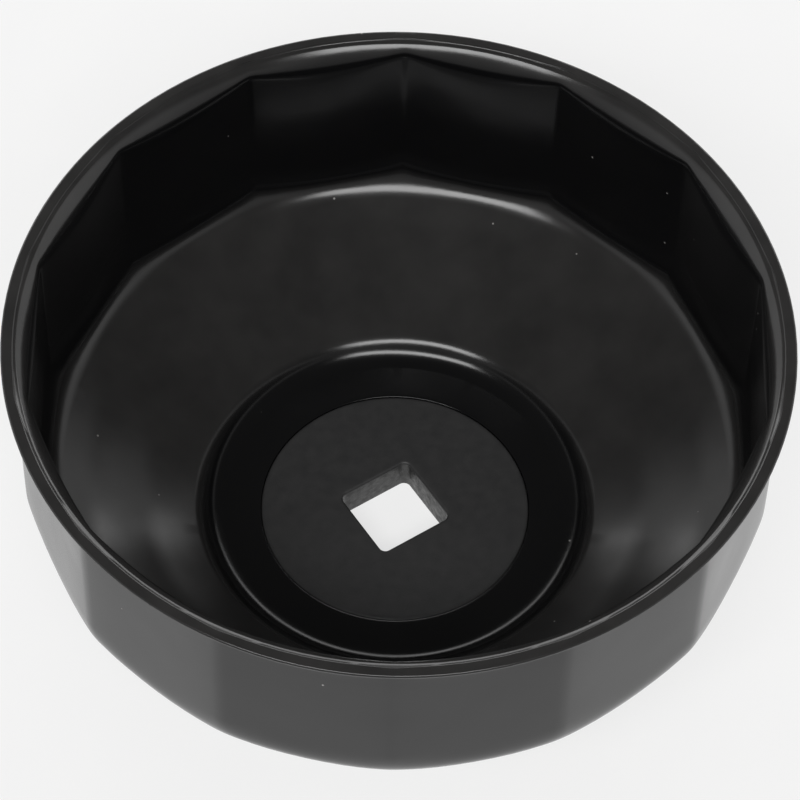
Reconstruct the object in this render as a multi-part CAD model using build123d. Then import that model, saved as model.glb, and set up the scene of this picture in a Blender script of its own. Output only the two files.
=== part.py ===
from build123d import *
import os

# Cap-type oil filter wrench. Millimetres, +Z towards the mouth. The origin is on the centre line,
# in the plane of the drive plate's back, which the wrench rests on.

# Socket
flat_count = 14
across_flats = 84.0
flat_phase = 4.4              # turn of a corner of the socket from +X, about Z, in degrees
corner_radius = 2.0           # inside radius of the corners between the flats
corner_clearance = 0.3        # how far the round floor would reach outside those corners
sheet = 1.5                   # thickness of the cup's sheet steel
height = 40.2

# Lip: the sheet flares out to a round rim, and its cut edge is a flat land
rim_radius = 45.6
flare_radius = 6.0            # inside radius of the flare
flare_throat = 41.6           # inside radius at which the flare would turn vertical

# Floor: corners of the inside section, and the radii that round them
foot_height = 16.8            # wall to dished floor
outer_dish = (37.0, 13.15)    # the dish is steeper outside, flatter inside
inner_dish = (30.0, 9.4)
ring_corner = (23.75, 6.4)    # dished floor to the step
plate_thickness = 4.6
step_corner = (22.15, plate_thickness)   # step to the flat middle, level with the plate
foot_fillet = 7.0
dish_fillet = 60.0
ring_fillet = 3.6
step_fillet = 3.2

# Drive plate, in a round hole of the flat middle and standing out behind it
plate_radius = 16.3
plate_clearance = 0.05        # between the plate and the hole
plate_bevel = 0.25
drive_square = 9.65           # for a 3/8 inch square drive
drive_corner = 0.8
drive_lead_in = 0.35          # rounding at the inner mouth of the square

# Stitch welds, in the corner behind the sheet
weld_count = 4
weld_arc = 48.0               # length of one bead, in degrees
weld_leg = 1.6

above = 5.0                   # how far the cutting forms reach above the rim


def turned(section):
    """Revolve the part of a section, drawn as (radius, height), that lies right of the axis."""
    reach = 4 * rim_radius
    right_side = Pos(reach / 2, 0) * Rectangle(reach, 2 * reach)
    return revolve(Plane.XZ * (section & right_side), Axis.Z)


def flats_outline():
    """The inside outline of the socket, with rounded corners."""
    outline = RegularPolygon(across_flats / 2, flat_count, major_radius=False)
    return Rot(0, 0, flat_phase) * fillet(outline.vertices(), corner_radius)


def floor_section():
    """The space inside the dished floor, down to its flat middle."""
    corner_reach = max(vertex.center().length for vertex in flats_outline().vertices())
    wall_radius = corner_reach + corner_clearance
    past_axis = -step_corner[0] / 2
    floor_line = FilletPolyline(
        (past_axis, plate_thickness),
        step_corner,
        ring_corner,
        inner_dish,
        outer_dish,
        (wall_radius, foot_height),
        (wall_radius, height + above),
        radius=[step_fillet, ring_fillet, dish_fillet, dish_fillet, foot_fillet],
    )
    top = height + above
    closing = Polyline((wall_radius, top), (past_axis, top), (past_axis, plate_thickness))
    return make_face(floor_line + closing)


def flare_section():
    """The space inside the flared lip."""
    centre_radius = flare_throat + flare_radius
    land_radius = rim_radius - sheet
    rise = (flare_radius ** 2 - (centre_radius - land_radius) ** 2) ** 0.5
    throat = (flare_throat, height - rise)
    mouth = (land_radius, height)
    arc = RadiusArc(throat, mouth, flare_radius)
    top = height + above
    closing = Polyline(mouth, (land_radius, top), (0, top), (0, height - rise), throat)
    return make_face(arc + closing)


def make_cup_body():
    """The stamped cup: flats, round flared lip, stepped floor and the hole for the plate."""
    inner_outline = flats_outline()
    outer_outline = offset(inner_outline, sheet)
    outer_floor = turned(offset(floor_section(), sheet))
    outer_flare = turned(offset(flare_section(), sheet))
    below_rim = extrude(Circle(2 * rim_radius), height)
    shell = (extrude(outer_outline, height) & outer_floor) + (outer_flare & below_rim)

    cavity = extrude(inner_outline, height + above) & turned(floor_section())
    plate_hole = extrude(Circle(plate_radius + plate_clearance), plate_thickness)
    return shell - cavity - turned(flare_section()) - plate_hole


def make_drive_plate():
    """The thick disc that carries the drive square."""
    disc = extrude(Circle(plate_radius), plate_thickness)
    disc = chamfer(disc.edges(), plate_bevel)
    square = RectangleRounded(drive_square, drive_square, drive_corner)
    plate = disc - extrude(square, plate_thickness)
    mouth = plate.edges().group_by(Axis.Z)[-1].filter_by(
        lambda edge: edge.center().length < plate_radius and edge.bounding_box().size.X < plate_radius
    )
    return fillet(mouth, drive_lead_in)


def make_weld_bead(index):
    """One fillet weld between the side of the plate and the back of the sheet."""
    back = plate_thickness - sheet
    foot = (plate_radius, back - weld_leg)
    corner = (plate_radius, back)
    toe = (plate_radius + plate_clearance + weld_leg, back)
    outline = make_face(Polyline(foot, corner, toe, foot))
    bead = revolve(Plane.XZ * outline, Axis.Z, weld_arc)
    middle = 360 / weld_count * (index + 0.5)
    return Rot(0, 0, middle - weld_arc / 2) * bead


parts = {
    "cup_body": make_cup_body(),
    "drive_plate": make_drive_plate(),
}
for index in range(weld_count):
    parts[f"weld_bead_{index + 1}"] = make_weld_bead(index)

os.makedirs("parts", exist_ok=True)
for name, shape in parts.items():
    export_step(shape, f"parts/{name}.step")
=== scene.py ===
import math

import bpy
from mathutils import Matrix, Vector


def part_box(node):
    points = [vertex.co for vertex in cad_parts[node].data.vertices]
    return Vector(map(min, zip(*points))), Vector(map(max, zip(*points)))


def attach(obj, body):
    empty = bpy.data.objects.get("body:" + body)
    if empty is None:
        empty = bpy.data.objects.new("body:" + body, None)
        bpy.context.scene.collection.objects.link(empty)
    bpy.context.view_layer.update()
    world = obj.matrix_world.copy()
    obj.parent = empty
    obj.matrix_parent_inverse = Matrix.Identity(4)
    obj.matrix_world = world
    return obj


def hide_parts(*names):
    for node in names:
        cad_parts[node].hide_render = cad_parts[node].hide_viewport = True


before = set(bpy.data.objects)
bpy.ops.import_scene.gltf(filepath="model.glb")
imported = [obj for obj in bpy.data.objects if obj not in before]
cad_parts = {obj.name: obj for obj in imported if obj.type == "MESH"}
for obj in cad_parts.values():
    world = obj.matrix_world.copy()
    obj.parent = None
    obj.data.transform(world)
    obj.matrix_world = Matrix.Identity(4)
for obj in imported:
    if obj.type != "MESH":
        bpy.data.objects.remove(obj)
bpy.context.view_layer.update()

# ---------------------------------------------------------------- sizes, in metres

MM = 0.001

cup_low, cup_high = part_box("cup_body")
plate_low, plate_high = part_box("drive_plate")

RIM_RADIUS = (cup_high[0] - cup_low[0]) / 2
HEIGHT = cup_high[2]
SHEET = 1.5 * MM

FLAT_COUNT = 14
FLAT_PHASE = math.radians(4.4)             # a corner of the flats, from +X
APOTHEM = 42.0 * MM                        # inside, half of the size across flats
CORNER_RADIUS = 2.0 * MM

FLARE_RADIUS = 6.0 * MM
FLARE_THROAT = 41.6 * MM
LAND_EDGE = 0.30 * MM                      # rounding of the two edges of the lip's flat land

PLATE_RADIUS = (plate_high[0] - plate_low[0]) / 2
PLATE_TOP = plate_high[2]                  # also the level of the cup's flat middle
PLATE_BEVEL = 0.25 * MM
HOLE_RADIUS = PLATE_RADIUS + 0.05 * MM     # in the cup, for the plate
HOLE_EDGE = 0.1 * MM

ROUND_WALL = APOTHEM / math.cos(math.pi / FLAT_COUNT) + 0.2 * MM
FOOT_HEIGHT = 16.8 * MM
OUTER_DISH = (37.0 * MM, 13.15 * MM)
INNER_DISH = (30.0 * MM, 9.4 * MM)
RING_CORNER = (23.75 * MM, 6.4 * MM)
STEP_CORNER = (22.15 * MM, PLATE_TOP)
FOOT_FILLET = 7.0 * MM
DISH_FILLET = 60.0 * MM
RING_FILLET = 3.6 * MM
STEP_FILLET = 3.2 * MM

FLAT_SOFTNESS = 1.1 * MM                   # blend between the flats and the round floor
FLARE_SOFTNESS = 0.5 * MM                  # blend between the flats and the round flare

SQUARE = 9.65 * MM
SQUARE_CORNER = 0.8 * MM
LEAD_IN = 0.35 * MM                        # rolled edge at the mouth of the square
BREAKOUT = 0.09 * MM                       # how much the punch tears the square wider at its back

BEAD_COUNT = 4
BEAD_ARC = math.radians(48)
BEAD_LEG = 1.6 * MM


# ---------------------------------------------------------------- mesh helpers

def soft_min(a, b, width):
    """The smaller of a and b, rounded where they are within width of each other."""
    overlap = max(width - abs(a - b), 0) / width
    return min(a, b) - overlap * overlap * width / 4


def soft_max(a, b, width):
    return -soft_min(-a, -b, width)


def arc(centre, radius, start, end, steps):
    """Points of an arc from the angle start to the angle end, in degrees."""
    angles = [math.radians(start + (end - start) * i / steps) for i in range(steps + 1)]
    return [Vector((centre[0] + radius * math.cos(t), centre[1] + radius * math.sin(t))) for t in angles]


def rounded_path(corners, radii, turn_step=math.radians(5), longest=2.5 * MM):
    """A polyline through corners, each inner corner rounded by an arc, as evenly dense points."""
    corners = [Vector(c) for c in corners]
    points = [corners[0]]
    for before, corner, after, radius in zip(corners, corners[1:], corners[2:], radii):
        incoming = (corner - before).normalized()
        outgoing = (after - corner).normalized()
        turn = incoming.angle_signed(outgoing)
        reach = radius * math.tan(abs(turn) / 2)
        start = corner - incoming * reach
        side = Vector((-incoming.y, incoming.x)) * (-1 if turn > 0 else 1)
        centre = start + side * radius
        count = max(3, math.ceil(abs(turn) / turn_step))
        spoke = start - centre
        for i in range(count + 1):
            points.append(centre + Matrix.Rotation(-turn * i / count, 2) @ spoke)
    points.append(corners[-1])
    return subdivided(points, longest)


def subdivided(points, longest):
    """The same polyline with no run longer than longest."""
    result = [points[0]]
    for a, b in zip(points, points[1:]):
        count = max(1, math.ceil((b - a).length / longest))
        result += [a.lerp(b, i / count) for i in range(1, count + 1)]
    return result


def parallel_path(points, distance):
    """The path moved sideways by distance, point by point."""
    moved = []
    for i, point in enumerate(points):
        before = points[max(i - 1, 0)]
        after = points[min(i + 1, len(points) - 1)]
        along = (after - before).normalized()
        moved.append(point + Vector((along.y, -along.x)) * distance)
    return moved


def mesh_piece(name, vertices, faces, material):
    """A smooth-shaded piece that rides on the root body."""
    mesh = bpy.data.meshes.new(name)
    mesh.from_pydata(vertices, [], faces)
    mesh.validate()
    mesh.shade_smooth()
    mesh.materials.append(material)
    piece = bpy.data.objects.new(name, mesh)
    bpy.context.scene.collection.objects.link(piece)
    weighted = piece.modifiers.new("weighted_normals", "WEIGHTED_NORMAL")
    weighted.mode = "FACE_AREA"
    weighted.weight = 60
    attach(piece, "root")
    return piece


def closed_grid_faces(rows, columns):
    """Quads of a grid that closes on itself both ways."""
    faces = []
    for row in range(rows):
        below = (row + 1) % rows
        for column in range(columns):
            right = (column + 1) % columns
            faces.append((
                row * columns + column,
                row * columns + right,
                below * columns + right,
                below * columns + column,
            ))
    return faces


# ---------------------------------------------------------------- cup

def flats_radius(angle, apothem, corner_radius):
    """Distance from the axis to the rounded outline of the flats, at an angle about Z."""
    half = math.pi / FLAT_COUNT
    from_corner = (angle - FLAT_PHASE + half) % (2 * half) - half
    tangent = half - math.atan((apothem - corner_radius) * math.tan(half) / apothem)
    if abs(from_corner) < tangent:
        centre = (apothem - corner_radius) / math.cos(half)
        across = centre * math.sin(from_corner)
        return centre * math.cos(from_corner) + math.sqrt(corner_radius ** 2 - across ** 2)
    return apothem / math.cos(half - abs(from_corner))


def column_angles():
    """Angles about Z, close together at the corners of the flats."""
    steps = [0, 0.25, 0.5, 0.75, 1.0, 1.3, 1.8, 2.8, 4.6, 7.0, 9.9]
    half = 180 / FLAT_COUNT
    offsets = steps + [2 * half - s for s in steps[:0:-1]]
    offsets.insert(len(steps), half)
    offsets = sorted(offsets)
    return [
        FLAT_PHASE + math.radians(2 * half * flat + offset)
        for flat in range(FLAT_COUNT)
        for offset in offsets
    ]


def floor_path():
    """Inside section of the cup, from the wall down to the hole for the plate."""
    return rounded_path(
        [
            (ROUND_WALL, HEIGHT - FLARE_RADIUS),
            (ROUND_WALL, FOOT_HEIGHT),
            OUTER_DISH,
            INNER_DISH,
            RING_CORNER,
            STEP_CORNER,
            (HOLE_RADIUS, PLATE_TOP),
        ],
        [FOOT_FILLET, DISH_FILLET, DISH_FILLET, RING_FILLET, STEP_FILLET],
    )


def cup_section():
    """The closed section of the sheet as (height, round radius, flare radius, outer side)."""
    land_radius = RIM_RADIUS - SHEET
    centre_radius = FLARE_THROAT + FLARE_RADIUS
    lip_angle = math.degrees(math.acos((centre_radius - land_radius) / FLARE_RADIUS))
    centre = (centre_radius, HEIGHT - FLARE_RADIUS * math.sin(math.radians(lip_angle)))
    inner_flare = arc(centre, FLARE_RADIUS, 180 - lip_angle + 2, 180, 18)
    outer_flare = arc(centre, FLARE_RADIUS - SHEET, 180, 180 - lip_angle, 14)
    lip_side = arc((land_radius, HEIGHT), SHEET, -lip_angle, -8, 8)
    land = (
        arc((RIM_RADIUS - LAND_EDGE, HEIGHT - LAND_EDGE), LAND_EDGE, 0, 90, 5)
        + arc((land_radius + LAND_EDGE, HEIGHT - LAND_EDGE), LAND_EDGE, 90, 180 - lip_angle / 2, 4)
    )
    inner_floor = floor_path()
    outer_floor = parallel_path(inner_floor, -SHEET)[::-1]
    back = PLATE_TOP - SHEET
    hole_edge = [
        (HOLE_RADIUS + 0.45 * MM, PLATE_TOP),
        (HOLE_RADIUS + HOLE_EDGE, PLATE_TOP),
        (HOLE_RADIUS + HOLE_EDGE * 0.3, PLATE_TOP - HOLE_EDGE * 0.3),
        (HOLE_RADIUS, PLATE_TOP - HOLE_EDGE),
        (HOLE_RADIUS, back + HOLE_EDGE),
        (HOLE_RADIUS + HOLE_EDGE * 0.3, back + HOLE_EDGE * 0.3),
        (HOLE_RADIUS + HOLE_EDGE, back),
        (HOLE_RADIUS + 0.45 * MM, back),
    ]

    section = [(p.y, p.x, p.x, False) for p in inner_flare]
    section += [(p.y, p.x, 0, False) for p in inner_floor[1:-1]]
    section += [(z, radius, 0, True) for radius, z in hole_edge]
    section += [(p.y, p.x, 0, True) for p in outer_floor[1:-1]]
    section += [(p.y, p.x, p.x, True) for p in outer_flare + lip_side[1:] + land]
    return section


def make_cup(material):
    angles = column_angles()
    inner = [flats_radius(t, APOTHEM, CORNER_RADIUS) for t in angles]
    outer = [flats_radius(t, APOTHEM + SHEET, CORNER_RADIUS + SHEET) for t in angles]
    vertices = []
    section = cup_section()
    for z, round_radius, flare, outside in section:
        limit = outer if outside else inner
        round_wall = ROUND_WALL + SHEET if outside else ROUND_WALL
        for angle, flat in zip(angles, limit):
            wall = min(round_radius, round_wall) if not flare else round_wall
            radius = soft_min(wall, flat, FLAT_SOFTNESS)
            if flare:
                radius = soft_max(radius, flare, FLARE_SOFTNESS)
            vertices.append((radius * math.cos(angle), radius * math.sin(angle), z))
    faces = closed_grid_faces(len(section), len(angles))
    cup = mesh_piece("cup_shell", vertices, faces, material)
    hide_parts("cup_body")
    return cup


# ---------------------------------------------------------------- drive plate

def square_radius(angle, grow):
    """Distance from the axis to the rounded square, grown by grow, at an angle about Z."""
    half = SQUARE / 2 + grow
    corner = SQUARE_CORNER + grow
    straight = half - corner
    from_side = abs((angle + math.pi / 4) % (math.pi / 2) - math.pi / 4)
    if half * math.tan(from_side) <= straight:
        return half / math.cos(from_side)
    centre = straight * math.sqrt(2)
    across = centre * math.sin(math.pi / 4 - from_side)
    return centre * math.cos(math.pi / 4 - from_side) + math.sqrt(corner ** 2 - across ** 2)


def plate_section():
    """The closed section of the plate as (growth of the square, share of the way to the rim, height)."""
    steps = (0, 0.1, 0.25, 0.4, 0.55, 0.7, 0.85, 1)
    wall = [(BREAKOUT * (1 - t) ** 2, 0, 0.1 * MM + t * (PLATE_TOP - LEAD_IN - 0.1 * MM)) for t in steps]
    mouth = []
    for i in range(1, 7):
        turn = math.radians(15 * i)
        mouth.append((LEAD_IN * (1 - math.cos(turn)), 0, PLATE_TOP - LEAD_IN * (1 - math.sin(turn))))
    top = [(LEAD_IN, share, PLATE_TOP) for share in (0.03, 0.3, 0.65, 0.97, 1)]
    back = [(BREAKOUT, share, 0) for share in (1, 0.97, 0.65, 0.3, 0.03)]
    back.append((BREAKOUT + 0.05 * MM, 0, 0))
    return wall, mouth, top, back


def make_plate(material, wall_material):
    columns = 288
    angles = [2 * math.pi * i / columns for i in range(columns)]
    wall, mouth, top, back = plate_section()
    rounded = PLATE_RADIUS - PLATE_BEVEL
    rows = [(grow, share, z, rounded) for grow, share, z in wall + mouth + top]
    rows.append((0, 1, PLATE_TOP - PLATE_BEVEL * 0.3, PLATE_RADIUS - PLATE_BEVEL * 0.3))
    rows.append((0, 1, PLATE_TOP - PLATE_BEVEL, PLATE_RADIUS))
    rows.append((0, 1, PLATE_BEVEL, PLATE_RADIUS))
    rows.append((0, 1, PLATE_BEVEL * 0.3, PLATE_RADIUS - PLATE_BEVEL * 0.3))
    rows += [(grow, share, z, rounded) for grow, share, z in back]
    vertices = []
    for grow, share, z, outer in rows:
        for angle in angles:
            inner = square_radius(angle, grow)
            radius = inner + (outer - inner) * share
            vertices.append((radius * math.cos(angle), radius * math.sin(angle), z))
    faces = closed_grid_faces(len(rows), columns)
    plate = mesh_piece("drive_disc", vertices, faces, material)
    plate.data.materials.append(wall_material)
    for polygon in plate.data.polygons:
        if polygon.index // columns < len(wall) - 1:
            polygon.material_index = 1
    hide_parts("drive_plate")
    return plate


# ---------------------------------------------------------------- weld beads

def make_bead(index, material):
    """A weld in the corner between the side of the plate and the back of the sheet."""
    node = f"weld_bead_{index}"
    low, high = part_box(node)
    middle = math.atan2(low[1] + high[1], low[0] + high[0])
    back = PLATE_TOP - SHEET
    columns = 90
    face_steps = 8
    vertices = []
    for column in range(columns + 1):
        along = column / columns
        angle = middle + BEAD_ARC * (along - 0.5)
        taper = min(1, 0.45 + 5 * min(along, 1 - along))
        ripple = 0.04 * MM * math.sin(along * 2 * math.pi * 17)
        leg = (BEAD_LEG - 0.12 * MM) * taper
        section = [(0, 0)]
        for step in range(face_steps + 1):
            share = step / face_steps
            bulge = math.sin(math.pi * share) * (0.22 * MM + ripple) * taper
            section.append((leg * (1 - share) + bulge * 0.7, leg * share + bulge * 0.7))
        for out, down in section:
            radius = PLATE_RADIUS + out
            vertices.append((radius * math.cos(angle), radius * math.sin(angle), back - down))
    around = face_steps + 2
    faces = []
    for column in range(columns):
        for i in range(around):
            a = column * around + i
            b = column * around + (i + 1) % around
            faces.append((a, b, b + around, a + around))
    faces.append(tuple(range(around - 1, -1, -1)))
    faces.append(tuple(range(columns * around, (columns + 1) * around)))
    bead = mesh_piece(f"bead_{index}", vertices, faces, material)
    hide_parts(node)
    return bead


# ---------------------------------------------------------------- materials

class Surface:
    """A Principled material whose inputs are built from small procedural steps."""

    def __init__(self, name):
        self.material = bpy.data.materials.new(name)
        self.material.use_nodes = True
        self.nodes = self.material.node_tree.nodes
        self.links = self.material.node_tree.links
        self.shader = self.nodes["Principled BSDF"]
        self.place = self.nodes.new("ShaderNodeTexCoord").outputs["Object"]

    def noise(self, scale, detail=3, stretch=(1, 1, 1)):
        mapping = self.nodes.new("ShaderNodeMapping")
        mapping.inputs["Scale"].default_value = [scale * s for s in stretch]
        self.links.new(self.place, mapping.inputs["Vector"])
        texture = self.nodes.new("ShaderNodeTexNoise")
        texture.inputs["Scale"].default_value = 1
        texture.inputs["Detail"].default_value = detail
        self.links.new(mapping.outputs["Vector"], texture.inputs["Vector"])
        return texture.outputs["Fac"]

    def remap(self, value, low, high, to_low, to_high):
        node = self.nodes.new("ShaderNodeMapRange")
        for name, number in (("From Min", low), ("From Max", high), ("To Min", to_low), ("To Max", to_high)):
            node.inputs[name].default_value = number
        self.links.new(value, node.inputs["Value"])
        return node.outputs["Result"]

    def maths(self, operation, a, b):
        node = self.nodes.new("ShaderNodeMath")
        node.operation = operation
        for socket, value in zip(node.inputs, (a, b)):
            if isinstance(value, (int, float)):
                socket.default_value = value
            else:
                self.links.new(value, socket)
        return node.outputs["Value"]

    def colours(self, factor, first, second):
        node = self.nodes.new("ShaderNodeValToRGB")
        node.color_ramp.elements[0].color = (*first, 1)
        node.color_ramp.elements[1].color = (*second, 1)
        self.links.new(factor, node.inputs["Fac"])
        return node.outputs["Color"]

    def specks(self, scale, size, share):
        """1 on small scattered grains, 0 elsewhere. Share is the part of the cells that hold one."""
        texture = self.nodes.new("ShaderNodeTexVoronoi")
        texture.inputs["Scale"].default_value = scale
        self.links.new(self.place, texture.inputs["Vector"])
        grain = self.remap(texture.outputs["Distance"], size * 0.5, size, 1, 0)
        split = self.nodes.new("ShaderNodeSeparateColor")
        self.links.new(texture.outputs["Color"], split.inputs["Color"])
        chosen = self.maths("GREATER_THAN", split.outputs["Red"], 1 - share)
        return self.maths("MULTIPLY", grain, chosen)

    def painted_light_mask(self, inner, outer):
        """1 on surfaces that face up and lie outside the radius outer, 0 inside the radius inner. A mask for
        painted light on up-facing surfaces.
        """
        flat = self.nodes.new("ShaderNodeVectorMath")
        flat.operation = "MULTIPLY"
        flat.inputs[1].default_value = (1, 1, 0)
        self.links.new(self.place, flat.inputs[0])
        length = self.nodes.new("ShaderNodeVectorMath")
        length.operation = "LENGTH"
        self.links.new(flat.outputs["Vector"], length.inputs[0])
        geometry = self.nodes.new("ShaderNodeNewGeometry")
        split = self.nodes.new("ShaderNodeSeparateXYZ")
        self.links.new(geometry.outputs["Normal"], split.inputs["Vector"])
        upward = self.remap(split.outputs["Z"], 0.35, 0.80, 0, 1)
        return self.maths("MULTIPLY", upward, self.remap(length.outputs["Value"], inner, outer, 0, 1))

    def bump(self, height, distance, strength=1.0, under=None):
        node = self.nodes.new("ShaderNodeBump")
        node.inputs["Distance"].default_value = distance
        node.inputs["Strength"].default_value = strength
        self.links.new(height, node.inputs["Height"])
        if under:
            self.links.new(under, node.inputs["Normal"])
        return node.outputs["Normal"]

    def plug(self, name, value):
        self.links.new(value, self.shader.inputs[name])


def black_paint():
    """Gloss black over drawn steel: slight waves, fine orange peel, and painted light: a paler, patchy film
    on the up-facing sloping floor, so the flat middle reads darker as painted shade.
    """
    s = Surface("black_gloss_paint")
    dust = s.specks(330, 0.055, 0.16)
    patchy = s.remap(s.noise(170, 5), 0.3, 0.7, 0.055, 0.085)
    # painted light: the up-facing dish outside the flat middle is made paler to stand in for light falling
    # on it, and the flat middle stays dark as painted shade
    painted_light_film = s.maths("MULTIPLY", s.painted_light_mask(22.8 * MM, 24.2 * MM), patchy)
    depth = s.remap(s.noise(60), 0.3, 0.7, 0, 0.004)
    tone = s.maths("MAXIMUM", s.maths("MAXIMUM", depth, painted_light_film), dust)
    s.plug("Base Color", s.colours(tone, (0.0035, 0.0035, 0.0038), (0.30, 0.29, 0.28)))
    haze = s.remap(s.noise(95, 5), 0.3, 0.7, 0.15, 0.20)
    s.plug("Roughness", s.maths("MAXIMUM", haze, s.maths("MULTIPLY", dust, 0.7)))
    waves = s.bump(s.noise(110, 1), 0.00006)
    s.plug("Normal", s.bump(s.noise(1500, 2), 0.0000025, under=waves))
    s.shader.inputs["IOR"].default_value = 1.44
    return s.material


def plate_black():
    """Satin black over a blanked plate: mottled and finely pitted."""
    s = Surface("satin_black_plate")
    dust = s.specks(260, 0.05, 0.10)
    mottle = s.remap(s.noise(700, 6), 0.25, 0.75, 0, 0.045)
    lightness = s.maths("MAXIMUM", mottle, dust)
    s.plug("Base Color", s.colours(lightness, (0.030, 0.030, 0.0305), (0.28, 0.27, 0.26)))
    s.plug("Roughness", s.remap(s.noise(420, 5), 0.3, 0.7, 0.44, 0.56))
    pits = s.bump(s.remap(s.noise(2600, 3), 0.3, 0.45, 0, 1), 0.000006)
    s.plug("Normal", s.bump(s.noise(350, 2), 0.000008, under=pits))
    s.shader.inputs["IOR"].default_value = 1.5
    return s.material


def punched_wall():
    """The sheared wall of the square: fine scores along the punch's travel, torn towards the back."""
    s = Surface("punched_black_wall")
    scores = s.noise(2400, 3, stretch=(1, 1, 0.06))
    s.plug("Base Color", s.colours(scores, (0.004, 0.004, 0.004), (0.018, 0.0175, 0.017)))
    s.plug("Roughness", s.remap(s.noise(1200, 5), 0.3, 0.7, 0.30, 0.55))
    torn = s.bump(s.noise(1700, 5), 0.00005)
    s.plug("Normal", s.bump(scores, 0.00003, under=torn))
    return s.material


def weld_black():
    """Paint over a weld: scale, spatter and a little haze."""
    s = Surface("black_painted_weld")
    s.plug("Base Color", s.colours(s.noise(900, 5), (0.006, 0.006, 0.006), (0.024, 0.023, 0.022)))
    s.plug("Roughness", s.remap(s.noise(650, 4), 0.3, 0.7, 0.26, 0.46))
    s.plug("Normal", s.bump(s.noise(1900, 4), 0.00003))
    s.shader.inputs["IOR"].default_value = 1.5
    return s.material


def pale_floor():
    """A lit, pale table top with a faint grain."""
    s = Surface("pale_table_top")
    s.plug("Base Color", s.colours(s.noise(90, 4), (0.195, 0.195, 0.195), (0.215, 0.215, 0.212)))
    s.plug("Roughness", s.remap(s.noise(40), 0.3, 0.7, 0.85, 0.95))
    s.plug("Normal", s.bump(s.noise(600, 3), 0.00002))
    s.shader.inputs["Emission Color"].default_value = (1, 1, 1, 1)
    s.shader.inputs["Emission Strength"].default_value = 0.72
    return s.material


# ---------------------------------------------------------------- stage, light, camera

VIEW_AZIMUTH = math.radians(-34.46)        # 0 looks along +Y
VIEW_ELEVATION = math.radians(54.88)
VIEW_ROLL = math.radians(1.52)
VIEW_DISTANCE = 9.577 * RIM_RADIUS
VIEW_SHIFT = (0.0015 * RIM_RADIUS, -0.1645 * RIM_RADIUS)
LENS = 171.7                               # mm, on a sensor 36 mm wide
RIM_CENTRE = Vector((0, 0, HEIGHT))


def view_axes():
    """Unit vectors of the view: forward, right and up."""
    turn = Matrix.Rotation(VIEW_AZIMUTH, 3, "Z")
    forward = turn @ Vector((0, math.cos(VIEW_ELEVATION), -math.sin(VIEW_ELEVATION)))
    level_right = turn @ Vector((1, 0, 0))
    level_up = level_right.cross(forward)
    right = math.cos(VIEW_ROLL) * level_right + math.sin(VIEW_ROLL) * level_up
    up = math.cos(VIEW_ROLL) * level_up - math.sin(VIEW_ROLL) * level_right
    return forward, right, up


def add_camera():
    forward, right, up = view_axes()
    data = bpy.data.cameras.new("camera")
    data.sensor_width = 36
    data.lens = LENS
    data.clip_start = 0.01
    camera = bpy.data.objects.new("camera", data)
    camera.matrix_world = Matrix((
        (right.x, up.x, -forward.x, 0),
        (right.y, up.y, -forward.y, 0),
        (right.z, up.z, -forward.z, 0),
        (0, 0, 0, 1),
    ))
    camera.location = RIM_CENTRE - forward * VIEW_DISTANCE + right * VIEW_SHIFT[0] + up * VIEW_SHIFT[1]
    bpy.context.scene.collection.objects.link(camera)
    bpy.context.scene.camera = camera


def add_floor():
    size = 3.0
    corners = [(-size, -size, 0), (size, -size, 0), (size, size, 0), (-size, size, 0)]
    mesh = bpy.data.meshes.new("floor")
    mesh.from_pydata(corners, [], [(0, 1, 2, 3)])
    mesh.materials.append(pale_floor())
    floor = bpy.data.objects.new("floor", mesh)
    bpy.context.scene.collection.objects.link(floor)


def add_softbox(name, azimuth, elevation, distance, width, depth, power):
    """A square light. Its azimuth is seen from above, 0 from the camera's side, growing to the right."""
    turn = VIEW_AZIMUTH + math.radians(azimuth)
    tilt = math.radians(elevation)
    direction = Matrix.Rotation(turn, 3, "Z") @ Vector((0, -math.cos(tilt), math.sin(tilt)))
    data = bpy.data.lights.new(name, "AREA")
    data.shape = "RECTANGLE"
    data.size = width
    data.size_y = depth
    data.energy = power
    light = bpy.data.objects.new(name, data)
    light.location = RIM_CENTRE + direction * distance
    light.rotation_euler = direction.to_track_quat("Z", "Y").to_euler()
    bpy.context.scene.collection.objects.link(light)


# Brightness of the surround on the far and near sides, where it ends, and what is left above that
SURROUND_FAR = 1.0
SURROUND_NEAR = 0.22
SURROUND_TOP = (math.radians(26), math.radians(38))
OVERHEAD = 0.08


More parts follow.
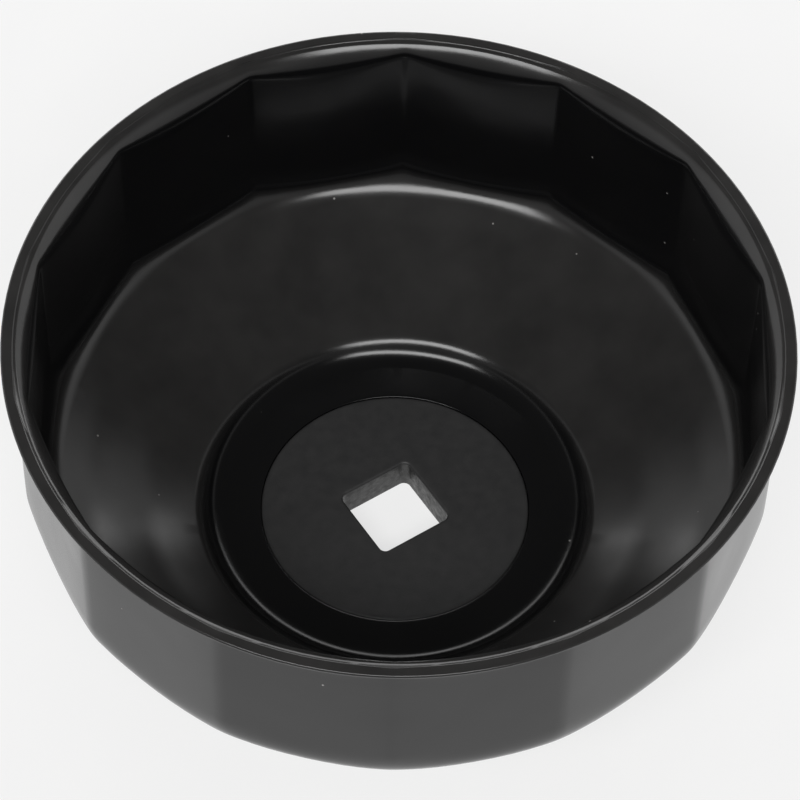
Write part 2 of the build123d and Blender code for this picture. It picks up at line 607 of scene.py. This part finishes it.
def add_world():
    """A pale surround that is bright low down, dimmer on the camera's side and dark overhead."""
    world = bpy.data.worlds.new("studio")
    bpy.context.scene.world = world
    world.use_nodes = True
    nodes = world.node_tree.nodes
    links = world.node_tree.links
    direction = nodes.new("ShaderNodeTexCoord").outputs["Generated"]
    away = nodes.new("ShaderNodeVectorMath")
    away.operation = "DOT_PRODUCT"
    away.inputs[1].default_value = Matrix.Rotation(VIEW_AZIMUTH, 3, "Z") @ Vector((0, 1, 0))
    links.new(direction, away.inputs[0])
    side = nodes.new("ShaderNodeMapRange")
    side.inputs["From Min"].default_value = -0.9
    side.inputs["From Max"].default_value = 0.1
    side.inputs["To Min"].default_value = SURROUND_NEAR
    side.inputs["To Max"].default_value = SURROUND_FAR
    links.new(away.outputs["Value"], side.inputs["Value"])
    split = nodes.new("ShaderNodeSeparateXYZ")
    links.new(direction, split.inputs["Vector"])
    band = nodes.new("ShaderNodeMapRange")
    band.interpolation_type = "SMOOTHSTEP"
    band.inputs["From Min"].default_value = math.sin(SURROUND_TOP[0])
    band.inputs["From Max"].default_value = math.sin(SURROUND_TOP[1])
    band.inputs["To Min"].default_value = 1
    band.inputs["To Max"].default_value = 0
    links.new(split.outputs["Z"], band.inputs["Value"])
    wall = nodes.new("ShaderNodeMath")
    wall.operation = "MULTIPLY_ADD"
    links.new(side.outputs["Result"], wall.inputs[0])
    links.new(band.outputs["Result"], wall.inputs[1])
    wall.inputs[2].default_value = OVERHEAD
    links.new(wall.outputs["Value"], nodes["Background"].inputs["Strength"])
    nodes["Background"].inputs["Color"].default_value = (1, 1, 1, 1)


make_cup(black_paint())
make_plate(plate_black(), punched_wall())
weld_material = weld_black()
for index in range(1, BEAD_COUNT + 1):
    make_bead(index, weld_material)

add_camera()
add_floor()
add_world()
add_softbox("key_softbox", -8, 49, 1.2, 1.1, 0.28, 11)
add_softbox("back_softbox", 180, 27, 1.3, 1.8, 0.50, 7)
bpy.context.scene.view_settings.view_transform = "Standard"
